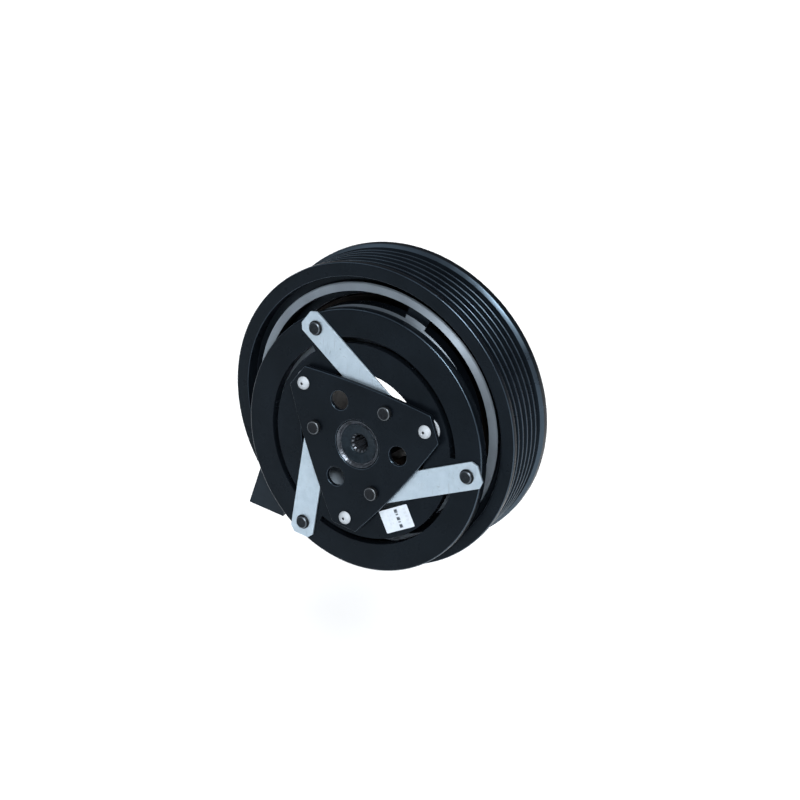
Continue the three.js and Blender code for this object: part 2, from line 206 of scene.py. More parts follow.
def plate(outline, holes, front, rear, edge=0.15, steps=3):
    """A flat piece with holes and softly rounded edges, drawn in X and Z, between two Y planes."""
    loops = [outline if area(outline) > 0 else outline[::-1]]
    loops += [hole if area(hole) < 0 else hole[::-1] for hole in holes]
    verts, faces = [], []
    levels = []
    for k in range(steps + 1):
        t = pi / 2 * (1 - k / steps)
        levels.append((edge * (1 - cos(t)), front + edge * (1 - sin(t))))
    levels += [(d, front + rear - y) for d, y in reversed(levels)]
    starts = []
    for loop in loops:
        n = len(loop)
        starts.append((len(verts), n))
        for d, y in levels:
            verts += [(x, y, z) for x, z in inset(loop, d)]
        base = starts[-1][0]
        for i in range(len(levels) - 1):
            for j in range(n):
                m = (j + 1) % n
                a, b = base + i * n, base + (i + 1) * n
                faces.append((a + j, a + m, b + m, b + j))
    for level in (0, len(levels) - 1):
        ids = [[base + level * n + j for j in range(n)] for base, n in starts]
        flat = [k for loop in ids for k in loop]
        drawn = [[Vector((verts[k][0], verts[k][2], 0)) for k in loop] for loop in ids]
        for tri in tessellate_polygon(drawn):
            faces.append(tuple(flat[k] for k in tri))
    return verts, faces


def circle(radius, x=0.0, z=0.0, count=48):
    return [(x + radius * cos(tau * i / count), z + radius * sin(tau * i / count)) for i in range(count)]


# ---------------------------------------------------------------- pieces


def make(name, skin, material, body, nodes=(), matrix=None, sharp=32, faces_of=None):
    """A mesh object from a skin; matrix places it, body carries it, nodes are the CAD nodes it stands for."""
    mesh = bpy.data.meshes.new(name)
    turn = matrix.to_3x3() if matrix is not None else Matrix.Identity(3)
    mesh.from_pydata([turn @ Vector(v) * MM for v in skin[0]], [], skin[1])
    bm = bmesh.new()
    bm.from_mesh(mesh)
    bmesh.ops.remove_doubles(bm, verts=bm.verts, dist=2e-6)
    bmesh.ops.dissolve_degenerate(bm, edges=bm.edges, dist=1e-7)
    bmesh.ops.recalc_face_normals(bm, faces=bm.faces)
    bm.to_mesh(mesh)
    bm.free()
    mesh.set_sharp_from_angle(angle=radians(sharp))
    axis = turn @ Vector((0, 1, 0))
    for polygon in mesh.polygons:
        polygon.use_smooth = abs(polygon.normal.dot(axis)) < 0.9998
    obj = bpy.data.objects.new(name, mesh)
    bpy.context.scene.collection.objects.link(obj)
    for m in material if isinstance(material, (list, tuple)) else [material]:
        mesh.materials.append(m)
    if faces_of:
        for polygon in mesh.polygons:
            polygon.material_index = faces_of(polygon)
    if matrix is not None:
        obj.location = matrix.translation
    if body:
        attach(obj, body)
    if nodes:
        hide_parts(*nodes)
    return obj


def at(x, z, y=0.0, base=Matrix.Identity(4), turn=0.0):
    place = Matrix.Translation(Vector((x, y, z)) * MM)
    return base @ place @ Matrix.Rotation(radians(-turn), 4, "Y")


# ---------------------------------------------------------------- materials


class Mat:
    """A small helper round a node material."""

    def __init__(self, name, color, roughness, metallic=0.0, **sockets):
        self.material = bpy.data.materials.new(name)
        self.material.use_nodes = True
        self.nodes = self.material.node_tree.nodes
        self.links = self.material.node_tree.links
        self.shader = self.nodes["Principled BSDF"]
        self.set(self.shader, "Base Color", (*color, 1))
        self.set(self.shader, "Roughness", roughness)
        self.set(self.shader, "Metallic", metallic)
        for key, value in sockets.items():
            self.set(self.shader, key.replace("_", " "), value)
        self.height = None

    def set(self, node, socket, value):
        if hasattr(value, "is_output"):
            self.links.new(value, node.inputs[socket])
        else:
            node.inputs[socket].default_value = value

    def node(self, kind, inputs=None, out=0, **props):
        n = self.nodes.new(kind)
        for key, value in props.items():
            setattr(n, key, value)
        for key, value in (inputs or {}).items():
            self.set(n, key, value)
        return n.outputs[out]

    def coords(self):
        return self.node("ShaderNodeTexCoord", out="Object")

    def noise(self, scale, detail=3.0, vector=None, roughness=0.5):
        inputs = {"Vector": vector or self.coords(), "Scale": scale, "Detail": detail, "Roughness": roughness}
        return self.node("ShaderNodeTexNoise", inputs)

    def math(self, operation, a, b=0.0, clamp=False):
        return self.node("ShaderNodeMath", {0: a, 1: b}, operation=operation, use_clamp=clamp)

    def ramp(self, value, low, high, to_low=0.0, to_high=1.0):
        inputs = {"Value": value, "From Min": low, "From Max": high, "To Min": to_low, "To Max": to_high}
        return self.node("ShaderNodeMapRange", inputs, clamp=True)

    def mix(self, factor, a, b):
        n = self.nodes.new("ShaderNodeMix")
        n.data_type = "RGBA"
        self.set(n, 0, factor)
        self.set(n, 6, a if hasattr(a, "is_output") else (*a, 1))
        self.set(n, 7, b if hasattr(b, "is_output") else (*b, 1))
        return n.outputs[2]

    def radius(self, tip=None):
        """Distance from the piece's own axis, in mm: Y, or Y turned by the hub's tip."""
        coords = self.coords()
        if tip:
            coords = self.node("ShaderNodeVectorRotate", {"Vector": coords, "Rotation": tip},
                               rotation_type="EULER_XYZ", invert=True)
        flat = self.node("ShaderNodeVectorMath", {0: coords, 1: (1000, 0, 1000)}, operation="MULTIPLY")
        return self.node("ShaderNodeVectorMath", {0: flat}, out="Value", operation="LENGTH")

    def color(self, value):
        self.set(self.shader, "Base Color", value)
        return self

    def rough(self, value):
        self.set(self.shader, "Roughness", value)
        return self

    def bump(self, height, distance_mm, strength=1.0):
        inputs = {"Height": height, "Distance": distance_mm * MM, "Strength": strength}
        if self.height is not None:
            inputs["Normal"] = self.height
        self.height = self.node("ShaderNodeBump", inputs)
        self.set(self.shader, "Normal", self.height)
        return self


def black_coat(name, color, roughness, shine=0.11):
    m = Mat(name, color, roughness, Specular_IOR_Level=shine, Specular_Tint=(0.55, 0.78, 1.0, 1))
    patches = m.noise(60, 4)
    m.color(m.mix(m.ramp(patches, 0.3, 0.7), color, tuple(c * 1.9 for c in color)))
    m.rough(m.ramp(m.noise(140, 5), 0.3, 0.7, roughness - 0.06, roughness + 0.08))
    m.bump(m.noise(1500, 3), 0.006)
    return m.material


def turned_steel(name, color=(0.52, 0.54, 0.57), roughness=0.22):
    m = Mat(name, color, roughness, 1.0)
    rings = m.node("ShaderNodeTexNoise", {"W": m.radius(), "Scale": 9.0, "Detail": 4.0},
                   noise_dimensions="1D")
    stains = m.noise(90, 5)
    m.color(m.mix(m.ramp(stains, 0.35, 0.75), color, tuple(c * 0.72 for c in color)))
    m.rough(m.ramp(rings, 0.3, 0.7, roughness - 0.08, roughness + 0.1))
    m.bump(rings, 0.01)
    return m.material


def friction_steel():
    """Bare ground face: fine circular grooves spread the light; inside 45 mm, on the inner pole under the
    armature, the colour is painted darker as shade.
    """
    color = (0.44, 0.51, 0.58)
    m = Mat("friction_face_steel", color, 0.68, 1.0, Anisotropic=0.85, Anisotropic_Rotation=0.25)
    m.set(m.shader, "Tangent", m.node("ShaderNodeTangent", direction_type="RADIAL", axis="Y"))
    across = m.radius()
    rings = m.node("ShaderNodeTexNoise", {"W": across, "Scale": 9.0, "Detail": 4.0}, noise_dimensions="1D")
    stained = m.mix(m.ramp(m.noise(90, 5), 0.35, 0.75), color, tuple(c * 0.8 for c in color))
    lined = m.mix(m.ramp(rings, 0.35, 0.65, 0, 0.35), stained, tuple(c * 0.6 for c in color))
    # Painted shade: the inner pole inside 45 mm gets a darker colour, for the shade under the armature.
    m.color(m.mix(m.ramp(across, 44.9, 45.3), (0.34, 0.40, 0.46), lined))
    m.rough(m.ramp(rings, 0.3, 0.7, 0.62, 0.74))
    m.bump(rings, 0.006)
    return m.material


def zinc_strip():
    color = (0.60, 0.66, 0.72)
    m = Mat("zinc_strip", color, 0.42, 0.85)
    spangle = m.noise(220, 5, roughness=0.65)
    tone = m.mix(m.ramp(spangle, 0.3, 0.7), (0.36, 0.45, 0.53), (0.47, 0.57, 0.65))
    drawn = m.node("ShaderNodeMapping", {"Vector": m.coords(), "Scale": (1.0, 1.0, 0.06)},
                   vector_type="POINT")
    scratches = m.ramp(m.noise(1500, 2, drawn), 0.63, 0.72, 0, 0.35)
    tone = m.mix(scratches, tone, (0.26, 0.31, 0.36))
    smudges = m.ramp(m.noise(260, 5, roughness=0.7), 0.55, 0.72, 0, 0.25)
    tone = m.mix(smudges, tone, (0.30, 0.34, 0.38))
    specks = m.noise(900, 2)
    m.color(m.mix(m.ramp(specks, 0.66, 0.78, 0, 0.5), tone, (0.18, 0.22, 0.26)))
    m.rough(m.ramp(spangle, 0.3, 0.7, 0.34, 0.52))
    m.bump(m.noise(1300, 4), 0.008)
    return m.material


def dark_steel(name, color, roughness=0.38, metallic=0.7, **sockets):
    m = Mat(name, color, roughness, metallic, **sockets)
    blotch = m.noise(700, 4)
    m.color(m.mix(m.ramp(blotch, 0.3, 0.7), tuple(c * 0.7 for c in color), tuple(c * 1.5 for c in color)))
    m.rough(m.ramp(m.noise(500, 4), 0.3, 0.7, roughness - 0.08, roughness + 0.12))
    m.bump(m.noise(1800, 3), 0.01)
    return m.material


def rivet_steel(name, rim, disc, rim_polish_and_highlight, flange_shadow=(0.03, 0.034, 0.038)):
    """A formed rivet head: mottled middle, a rim between two radii with a polish that is also painted bright
    as its highlight, and the base outside the rim painted dark as its shadow.
    """
    m = Mat(name, (0.2, 0.22, 0.25), 0.35, 0.9)
    mottle = m.noise(1600, 4)
    across = m.radius(HUB_TIP)
    middle = m.mix(m.ramp(mottle, 0.3, 0.7), tuple(c * 0.55 for c in disc), tuple(c * 1.3 for c in disc))
    rimmed = m.mix(m.ramp(across, rim[0] - 0.12, rim[0] + 0.05), middle, rim_polish_and_highlight)
    m.color(m.mix(m.ramp(across, rim[1] - 0.03, rim[1] + 0.08), rimmed, flange_shadow))
    m.rough(m.ramp(mottle, 0.3, 0.7, 0.38, 0.55))
    m.bump(mottle, 0.02)
    return m.material


def moulded(name, color, roughness, bump=0.01, scale=1400, **sockets):
    m = Mat(name, color, roughness, **sockets)
    m.color(m.mix(m.ramp(m.noise(120, 4), 0.3, 0.7), color, tuple(c * 1.5 for c in color)))
    m.rough(m.ramp(m.noise(300, 3), 0.3, 0.7, roughness - 0.06, roughness + 0.08))
    m.bump(m.noise(scale, 3), bump)
    return m.material


def copper_wire():
    m = Mat("copper_wire", (0.45, 0.14, 0.05), 0.3, 0.8, Coat_Weight=0.6)
    m.color(m.mix(m.ramp(m.noise(300, 4), 0.3, 0.7), (0.36, 0.10, 0.035), (0.52, 0.19, 0.07)))
    return m.material


HUB_TIP = (radians(-4.53), 0, radians(-1.14))
BLACK = black_coat("black_coat", (0.0018, 0.0026, 0.0038), 0.3)
BLACK_EDGE = black_coat("black_coat_worn_edge", (0.006, 0.008, 0.011), 0.3, 0.9)
BORE_BLACK = dark_steel("phosphated_steel", (0.005, 0.008, 0.011), 0.38, 0.1, Specular_IOR_Level=0.2,
                        Specular_Tint=(0.6, 0.8, 1.0, 1))
FACE_STEEL = friction_steel()
BEARING_STEEL = turned_steel("bearing_steel")
# Painted shade: the bearing rings get a near-black brown colour, standing in for the shade deep in the bore;
# their bare steel would be brighter.
SHADED_BEARING_STEEL = dark_steel("bearing_steel_painted_shade", (0.007, 0.005, 0.004), 0.4, 0.1, Specular_IOR_Level=0.1)
CUP_EDGE = dark_steel("cup_edge_steel", (0.20, 0.22, 0.25), 0.4, 0.9)
SPLINE_STEEL = dark_steel("cut_spline_steel", (0.07, 0.08, 0.095), 0.35, 0.8)
ZINC = zinc_strip()
# Rivet rims are painted bright as their highlight, and the flanges outside them painted dark as shadow.
INNER_RIVET = rivet_steel("inner_rivet_steel", (2.3, 2.6), (0.016, 0.019, 0.023), (0.12, 0.135, 0.15))
OUTER_RIVET = rivet_steel("outer_rivet_steel", (2.18, 2.45), (0.018, 0.023, 0.028), (0.11, 0.13, 0.15),
                          (0.012, 0.014, 0.016))
RUBBER = moulded("pale_rubber", (0.25, 0.275, 0.30), 0.62, 0.008, Specular_IOR_Level=0.2)
DIMPLE = moulded("dimple_shadow", (0.01, 0.012, 0.015), 0.7)
SEAL = moulded("seal_rubber", (0.008, 0.005, 0.004), 0.6, Specular_IOR_Level=0.12)
PLASTIC = moulded("black_plastic", (0.0045, 0.0075, 0.011), 0.45, 0.02, 1100, Specular_IOR_Level=0.2,
                  Specular_Tint=(0.6, 0.8, 1.0, 1))
# The resin's near-black colour is partly its own and partly painted shade, darkened for the dim recess behind
# the rotor's slots.
RESIN = moulded("resin", (0.0045, 0.0034, 0.0026), 0.5, Specular_IOR_Level=0.12)
COPPER = copper_wire()
BRASS = dark_steel("contact_brass", (0.55, 0.36, 0.12), 0.3, 1.0)

# ---------------------------------------------------------------- pulley and rotor

RIB_PITCH = 3.56
CREST, ROOT = 61.8, 58.9
LIP_OUTER, LIP_INNER = 62.6, 57.1
FACE_Y, WEB_REAR = 3.35, 8.4
SLOT_INNER, SLOT_OUTER, FACE_OUTER = 45.1, 50.4, 53.8
WIDTH, REAR_FLANGE = 27.4, 63.1
BRIDGE_MIDDLE, BRIDGE_HALF, SLOTS = 66.2, 5.6, 4
STEP_RADIUS, STEP_DEPTH = 46.9, 0.5


def pulley_outline(bridge=False):
    grooves = []
    for i in range(6):
        middle = 4.2 + RIB_PITCH * i
        grooves += [(CREST, middle - 1.5, 0.35), (ROOT, middle - 0.35, 0.25)]
        grooves += [(ROOT, middle + 0.35, 0.25), (CREST, middle + 1.5, 0.35)]
    points = [
        (LIP_INNER, 0, 0.35), (LIP_OUTER, 0, 0.6), (LIP_OUTER, 2.1, 0.3), *grooves,
        (REAR_FLANGE, 24.4, 0.5), (REAR_FLANGE, WIDTH, 0.6), (50.9, WIDTH, 0.5), (50.9, WEB_REAR, 0.5),
        (35.2, WEB_REAR, 0.8), (35.2, WIDTH, 0.5), (31.1, WIDTH, 0.3), (31.1, 26.9, 0.1), (32.1, 26.9, 0.1),
        (32.1, 25.5, 0.1), (31.1, 25.5, 0.1), (31.1, 4.6, 0.1), (29.5, 4.6, 0.2), (29.5, FACE_Y, 0.3),
    ]
    if bridge:
        points += [(STEP_RADIUS, FACE_Y, 0.05), (STEP_RADIUS + 0.3, FACE_Y + STEP_DEPTH, 0.05),
                   (SLOT_OUTER - 0.2, FACE_Y + STEP_DEPTH, 0.05), (SLOT_OUTER, FACE_Y, 0)]
    points += [(FACE_OUTER - 0.5, FACE_Y, 0.1), (FACE_OUTER, FACE_Y + 0.6, 0.1), (FACE_OUTER, 6, 0.4),
               (LIP_INNER, 6, 0.4)]
    return rounded(points, 0.3)


def worn_edges(polygon):
    """The rounded edges, where the coat is rubbed bright."""
    return 1 if 0.25 < abs(polygon.normal.y) < 0.97 else 0


def pulley_faces(polygon):
    """Bare steel on the turned friction face, a rubbed coat on the rounded edges, black coat elsewhere."""
    c = polygon.center
    r = hypot(c.x, c.z) / MM
    front = polygon.normal.y < -0.9 and abs(c.y / MM - FACE_Y) < 0.2
    edge = polygon.normal.y < -0.4 and FACE_OUTER - 0.6 < r < FACE_OUTER
    if (front or edge) and r > 30:
        return 2
    rubbed = r > CREST - 0.7 or (LIP_INNER - 0.1 < r and c.y / MM < 0.8)
    return worn_edges(polygon) if rubbed else 0


pitch = 360 / SLOTS
slots = [(BRIDGE_MIDDLE + pitch * i + BRIDGE_HALF, BRIDGE_MIDDLE + pitch * (i + 1) - BRIDGE_HALF)
         for i in range(SLOTS)]
rotor = slotted(pulley_outline(), SLOT_INNER, SLOT_OUTER, slots, 1.2, pulley_outline(bridge=True))
make("pulley_rotor_skin", rotor, [BLACK, BLACK_EDGE, FACE_STEEL], "pulley", ["pulley_rotor"],
     faces_of=pulley_faces)

# ---------------------------------------------------------------- bearing

MIDDLE_Y = 15.0
RING_FRONT, RING_REAR = 4.9, 25.1
PITCH_RADIUS, RACE_RADIUS = 25.75, 3.4
BEARING_BORE, BEARING_OUTER = 20, 30.8


def race(side):
    """The groove that the balls run in: side -1 in the inner ring, 1 in the outer."""
    return [(PITCH_RADIUS + side * (RACE_RADIUS ** 2 - s * s) ** 0.5, MIDDLE_Y + s)
            for s in (-2.6, -2, -1.2, -0.4, 0.4, 1.2, 2, 2.6)]


inner_ring = [(BEARING_BORE, RING_FRONT, 0.5), (23.6, RING_FRONT, 0.3), *[(*p, 0) for p in race(-1)],
              (23.6, RING_REAR, 0.3), (BEARING_BORE, RING_REAR, 0.5)]
outer_ring = [(BEARING_OUTER, RING_FRONT, 0.5), (BEARING_OUTER, RING_REAR, 0.5), (27.9, RING_REAR, 0.3),
              *[(*p, 0) for p in race(1)[::-1]], (27.9, RING_FRONT, 0.3)]
make("bearing_inner_ring_skin", lathe(rounded(inner_ring, 0.3)), SHADED_BEARING_STEEL, "compressor_side",
     ["bearing_inner_ring"])
make("bearing_outer_ring_skin", lathe(rounded(outer_ring, 0.3)), SHADED_BEARING_STEEL, "pulley",
     ["bearing_outer_ring"])


def seal(front, outward):
    lip = [(23.9, 0), (24.6, 0), (24.9, 0.25), (26.6, 0.25), (27, 0), (27.6, 0), (27.6, 1), (23.9, 1)]
    flip = [(r, front + (y if outward < 0 else 1 - y)) for r, y in lip]
    return lathe(rounded(flip, 0.15))


for side, front, outward in (("front", 5.3, -1), ("rear", 23.7, 1)):
    make(f"bearing_{side}_seal_skin", seal(front, outward), SEAL, "pulley", [f"bearing_{side}_seal"])


def ball(radius):
    outline = [(radius * sin(pi * i / 24), -radius * cos(pi * i / 24)) for i in range(25)]
    return lathe(outline, 48, closed=False)


def cage():
    """A ribbon with round pockets, drawn as a sheet bent into a ring."""
    verts, faces = [], []
    columns, rows = 216, 18
    for r in (25.15, 26.35):
        for i in range(columns):
            a = radians(360 * i / columns)
            for j in range(rows + 1):
                y = MIDDLE_Y - 4.5 + 9 * j / rows
                verts.append((r * cos(a), y, r * sin(a)))

    def solid(i, j):
        a = 360 * (i + 0.5) / columns % 40
        along = min(a, 40 - a) / 360 * tau * 25.75
        y = -4.5 + 9 * (j + 0.5) / rows
        return hypot(along, y) > 3.55

    def index(layer, i, j):
        return (layer * columns + i % columns) * (rows + 1) + j

    for i in range(columns):
        for j in range(rows):
            if not solid(i, j):
                continue
            faces.append((index(0, i, j), index(0, i, j + 1), index(0, i + 1, j + 1), index(0, i + 1, j)))
            faces.append((index(1, i, j), index(1, i + 1, j), index(1, i + 1, j + 1), index(1, i, j + 1)))
            walls = [((i, j), (i, j + 1), (i - 1, j)), ((i + 1, j), (i + 1, j + 1), (i + 1, j)),
                     ((i, j), (i + 1, j), (i, j - 1)), ((i, j + 1), (i + 1, j + 1), (i, j + 1))]
            for a, b, beyond in walls:
                if 0 <= beyond[1] < rows and solid(beyond[0] % columns, beyond[1]):
                    continue
                faces.append((index(0, *a), index(0, *b), index(1, *b), index(1, *a)))
    used = sorted({k for f in faces for k in f})
    new = {k: n for n, k in enumerate(used)}
    return [verts[k] for k in used], [tuple(new[k] for k in f) for f in faces]


make("ball_cage_skin", cage(), RESIN, "ball_set", ["ball_cage"])
for i in range(9):
    x, z = polar(25.75, 40 * i)
    make(f"bearing_ball_skin_{i + 1}", ball(3.1), BEARING_STEEL, "ball_set", [f"bearing_ball_{i + 1}"],
         at(x, z, MIDDLE_Y))


def snap_ring():
    rings = []
    for i in range(121):
        a = 98 + (442 - 98) * i / 120
        section = rounded([(28.6, 25.7), (31.8, 25.7), (31.8, 26.7), (28.6, 26.7)], 0.15, 2)
        rings.append([(*[c for c in (polar(r, a)[0], y, polar(r, a)[1])],) for r, y in section])
    return loft(rings)


make("bearing_snap_ring_skin", snap_ring(), OUTER_RIVET, "pulley", ["bearing_snap_ring"])

# ---------------------------------------------------------------- field coil, plate and connector

housing = [(50.3, 11.8, 0.3), (50.3, 27.7, 0.8), (35.8, 27.7, 0.8), (35.8, 11.8, 0.3), (39.4, 11.8, 0.3),
           (39.4, 24.1, 0.8), (46.7, 24.1, 0.8), (46.7, 12.1, 0.1), (47.0, 11.8, 0.1), (47.5, 11.8, 0)]
bobbin = [(39.7, 13.3), (46.4, 13.3), (46.4, 14.3), (40.7, 14.3), (40.7, 22.8), (46.4, 22.8), (46.4, 23.8),
          (39.7, 23.8)]


def cup_faces(polygon):
    """The cup's outer wall ends in a narrow bare edge beside the resin."""
    c = polygon.center
    return 1 if polygon.normal.y < -0.5 and 46.7 < hypot(c.x, c.z) / MM < 47.2 else 0


make("coil_housing_skin", lathe(rounded(housing, 0.3)), [BLACK, CUP_EDGE], "compressor_side",
     ["coil_housing"], faces_of=cup_faces)
make("coil_bobbin_skin", lathe(rounded(bobbin, 0.15)), PLASTIC, "compressor_side", ["coil_bobbin"])


def winding():
    """Outline of a coil of round wire: a scalloped outer wall, plain where it lies on the bobbin."""
    wires = []
    pitch = 0.79
    for i in range(10):
        middle = 14.6 + pitch * (i + 0.5)
        wires += [(45.7 + 0.39 * cos(t), middle + 0.39 * sin(t)) for t in (-1.4, -0.9, -0.3, 0.3, 0.9, 1.4)]
    return lathe([(41, 14.6), (45.5, 14.6), *wires, (45.5, 22.5), (41, 22.5)])


make("coil_winding_skin", winding(), COPPER, "compressor_side", ["coil_winding"], sharp=60)
resin = [(39.7, 12.0), (46.4, 12.0), (46.4, 13.0), (39.7, 13.0)]
make("potting_resin_skin", lathe(rounded(resin, 0.2)), RESIN, "compressor_side", ["potting_resin"])
screw_holes = [circle(3.2, *polar(48, 45 + 90 * i)) for i in range(4)]
mounting_plate = plate(circle(57, count=192), [circle(27, count=128), *screw_holes], 28, 30.6, 0.3)
make("coil_mounting_plate_skin", mounting_plate, BORE_BLACK, "compressor_side", ["coil_mounting_plate"])

# ---------------------------------------------------------------- hub, tipped in the bore

HUB = Matrix.Translation(Vector((-0.19, -5.8, -8.05)) * MM) @ Euler(HUB_TIP).to_matrix().to_4x4()
HUB_UNTIP = Euler(HUB_TIP).to_matrix().inverted()


def off_axis(point):
    """Distance of a point from the hub piece's own axis, in mm."""
    level = HUB_UNTIP @ point
    return hypot(level.x, level.z) / MM


OUTER_CIRCLE, OUTER_ANGLE = 47.45, -2.7
INNER_CIRCLE, INNER_ANGLE = 19.86, 52.15
STOP_CIRCLE, STOP_ANGLE = 32.1, 22.2

armature = [(28.2, 0, 0.35), (52.9, 0, 0.7), (52.9, 4.1, 0.5), (28.2, 4.1, 0.3)]
armature_slots = [(OUTER_ANGLE + 7 + t, OUTER_ANGLE + 113 + t) for t in THIRDS]
make("armature_plate_skin", slotted(rounded(armature, 0.4), 39.4, 41.8, armature_slots, 1.2),
     [BLACK, BLACK_EDGE], "armature", ["armature_plate"], HUB, faces_of=worn_edges)


def hub_plate():
    corners = []
    for turn in THIRDS:
        middle = STOP_ANGLE + turn
        near, far = polar(36.7, middle + 8.6), polar(36.7, middle + 120 - 8.6)
        out = polar(1, middle + 60)
        corners += [(*polar(36.7, middle - 8.6), 1.0), (*near, 1.0)]
        for k in range(1, 8):
            t = k / 8
            bow = 1.2 * 4 * t * (1 - t)
            corners.append((near[0] + (far[0] - near[0]) * t + out[0] * bow,
                            near[1] + (far[1] - near[1]) * t + out[1] * bow, 0))
    holes = [circle(9.9, count=96)]
    holes += [circle(3.9, *polar(18.3, -1.4 + t)) for t in THIRDS]
    holes += [circle(2.5, *polar(INNER_CIRCLE, INNER_ANGLE + t), 32) for t in THIRDS]
    holes += [circle(2.1, *polar(STOP_CIRCLE, STOP_ANGLE + t), 32) for t in THIRDS]
    return plate(rounded(corners, 1.0, 6), holes, -2.9, -1, 0.3, 4)


make("hub_plate_skin", hub_plate(), [BLACK, BLACK_EDGE], "hub", ["hub_plate"], HUB,
     faces_of=worn_edges)


def boss():
    """Splined boss: swaged groove with a ragged lip round the front face, splines, counterbore behind."""
    section = [(4.3, -1.7, 0.1), (6.0, -1.9, 0.3), (7.85, -2.25, 0.15), (8.2, -1.5, 0.1), (8.5, -1.5, 0.1),
               (9.35, -2.85, 0.15), (9.6, -2.8, 0.05), (9.6, -0.7, 0.1), (12.5, -0.7, 0.3), (12.5, 2.5, 0.3),
               (9.7, 2.5, 0.3), (9.7, 20.0, 0.4), (9.1, 20.5, 0.2), (7.4, 20.5, 0.3), (7.4, 17.3, 0.2),
               (4.2, 17.3, 0.3)]
    outside = rounded(section, 0.2, closed=False)
    steps = 336
    skin = lathe(outside, steps, closed=False)
    n = len(outside)
    verts, faces = list(skin[0]), list(skin[1])
    for k, (x, y, z) in enumerate(verts):
        r, a = hypot(x, z), atan2(z, x)
        if 7.2 < r < 8.9 and y < -1:
            ragged = 0.5 * sin(9 * a + 1) + 0.32 * sin(23 * a) + 0.25 * sin(47 * a + 2) + 0.2 * sin(71 * a)
            reach = (1 - abs(r - 8.05) / 0.9) * ragged
            verts[k] = (x * (1 + 0.022 * reach), y + 0.16 * reach, z * (1 + 0.022 * reach))

    def spline_radius(i):
        phase = (i % 24) / 24
        return 3.2 if phase < 0.26 or phase > 0.74 else (3.9 if 0.34 < phase < 0.66 else 3.55)

    levels = [(-1.35, True), (-0.75, True), (-0.2, False), (16.9, False)]
    for y, plain in levels:
        for i in range(steps):
            x, z = polar(3.9 if plain else spline_radius(i), 360 * i / steps)
            verts.append((x, y, z))
    first = len(skin[0])
    for i in range(steps):
        k = (i + 1) % steps
        faces.append((i * n, k * n, first + k, first + i))
        for level in range(len(levels) - 1):
            low, high = first + level * steps, first + (level + 1) * steps
            faces.append((low + i, low + k, high + k, high + i))
        last = first + (len(levels) - 1) * steps
        faces.append((last + i, last + k, k * n + n - 1, i * n + n - 1))
    return verts, faces


def boss_faces(polygon):
    """Bare steel in the splines and on the swaged groove, phosphate elsewhere."""
    r = off_axis(polygon.center)
    return 1 if r < 3.95 or (7.95 < r < 9.5 and polygon.normal.y < -0.2) else 0


make("hub_boss_skin", boss(), [BORE_BLACK, SPLINE_STEEL], "hub", ["hub_boss"], HUB,
     faces_of=boss_faces)

for i, turn in enumerate(THIRDS):
    inner = Vector(polar(INNER_CIRCLE, INNER_ANGLE + turn))
    outer = Vector(polar(OUTER_CIRCLE, OUTER_ANGLE + 120 + turn))
    along = outer - inner
    length = along.length
    half, start, end, cut = 5.35, -5.5, length + 5.9, 2.1
    strip = [(start, -half + cut), (start + cut, -half)]
    strip += [(start + cut + (end - start - 2 * cut) * k / 40, -half) for k in range(1, 40)]
    strip += [(end - cut, -half), (end, -half + cut), (end, half - cut), (end - cut, half)]
    strip += [(end - cut - (end - start - 2 * cut) * k / 40, half) for k in range(1, 40)]
    strip += [(start + cut, half), (start, half - cut)]
    turn_out = degrees(atan2(along.y, along.x))
    ends = [circle(2.5, 0, 0, 24), circle(2.5, length, 0, 24)]
    place = at(inner.x, inner.y, 0, HUB, turn_out)
    leaf = plate(rounded(strip, 0.5, 3), ends, -0.9, -0.1, 0.12, 2)
    spring = make(f"leaf_spring_skin_{i + 1}", leaf, ZINC, None, (), place)
    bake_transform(spring)
    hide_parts(f"leaf_spring_{i + 1}")

inner_rivet = [(0, -4.45), (1.9, -4.5), (2.2, -4.7), (2.45, -4.68), (2.68, -4.4), (2.75, -3), (2.2, -3),
               (2.2, 0.2), (3.1, 0.2), (3.1, 1.0), (2.9, 1.2), (0, 1.2)]
outer_rivet = [(0, -2.28), (2.0, -2.38), (2.15, -2.36), (2.5, -1.95), (2.56, -1.5), (2.7, -1.42),
               (2.95, -1.3), (2.95, -1), (2.2, -1), (2.2, 3.7), (2.0, 3.9), (0, 3.9)]
stopper = [(0, -3.7), (0.45, -3.75), (0.55, -4.5), (0.75, -4.68), (1.2, -4.62), (1.8, -4.35), (2.35, -3.9),
           (2.6, -3.4), (2.65, -3), (1.8, -3), (1.8, -0.85), (4.7, -0.85), (4.9, -0.7), (4.9, -0.2),
           (4.8, -0.1), (0, -0.1)]
for i, turn in enumerate(THIRDS):
    n = i + 1
    def dimple(polygon):
        """The small hole in the stopper's tip."""
        return 1 if off_axis(polygon.center) < 0.53 and polygon.center.y < -0.003 else 0

    for name, outline, where, angle, material, body, slot in (
        ("inner_rivet", inner_rivet, INNER_CIRCLE, INNER_ANGLE, INNER_RIVET, "hub", "rivet_steel"),
        ("outer_rivet", outer_rivet, OUTER_CIRCLE, OUTER_ANGLE, OUTER_RIVET, "armature", "rivet_steel"),
        ("rubber_stopper", stopper, STOP_CIRCLE, STOP_ANGLE, [RUBBER, DIMPLE], "hub", "pale_rubber"),
    ):
        x, z = polar(where, angle + turn)
        skin = lathe(rounded(outline, 0.12, 3, closed=False), 64, closed=False)
        make(f"{name}_skin_{n}", skin, material, body, [f"{name}_{n}"], at(x, z, 0, HUB),
             faces_of=dimple if name == "rubber_stopper" else None)


LABEL = at(17.5, -27.6, 0, HUB, 27.5)


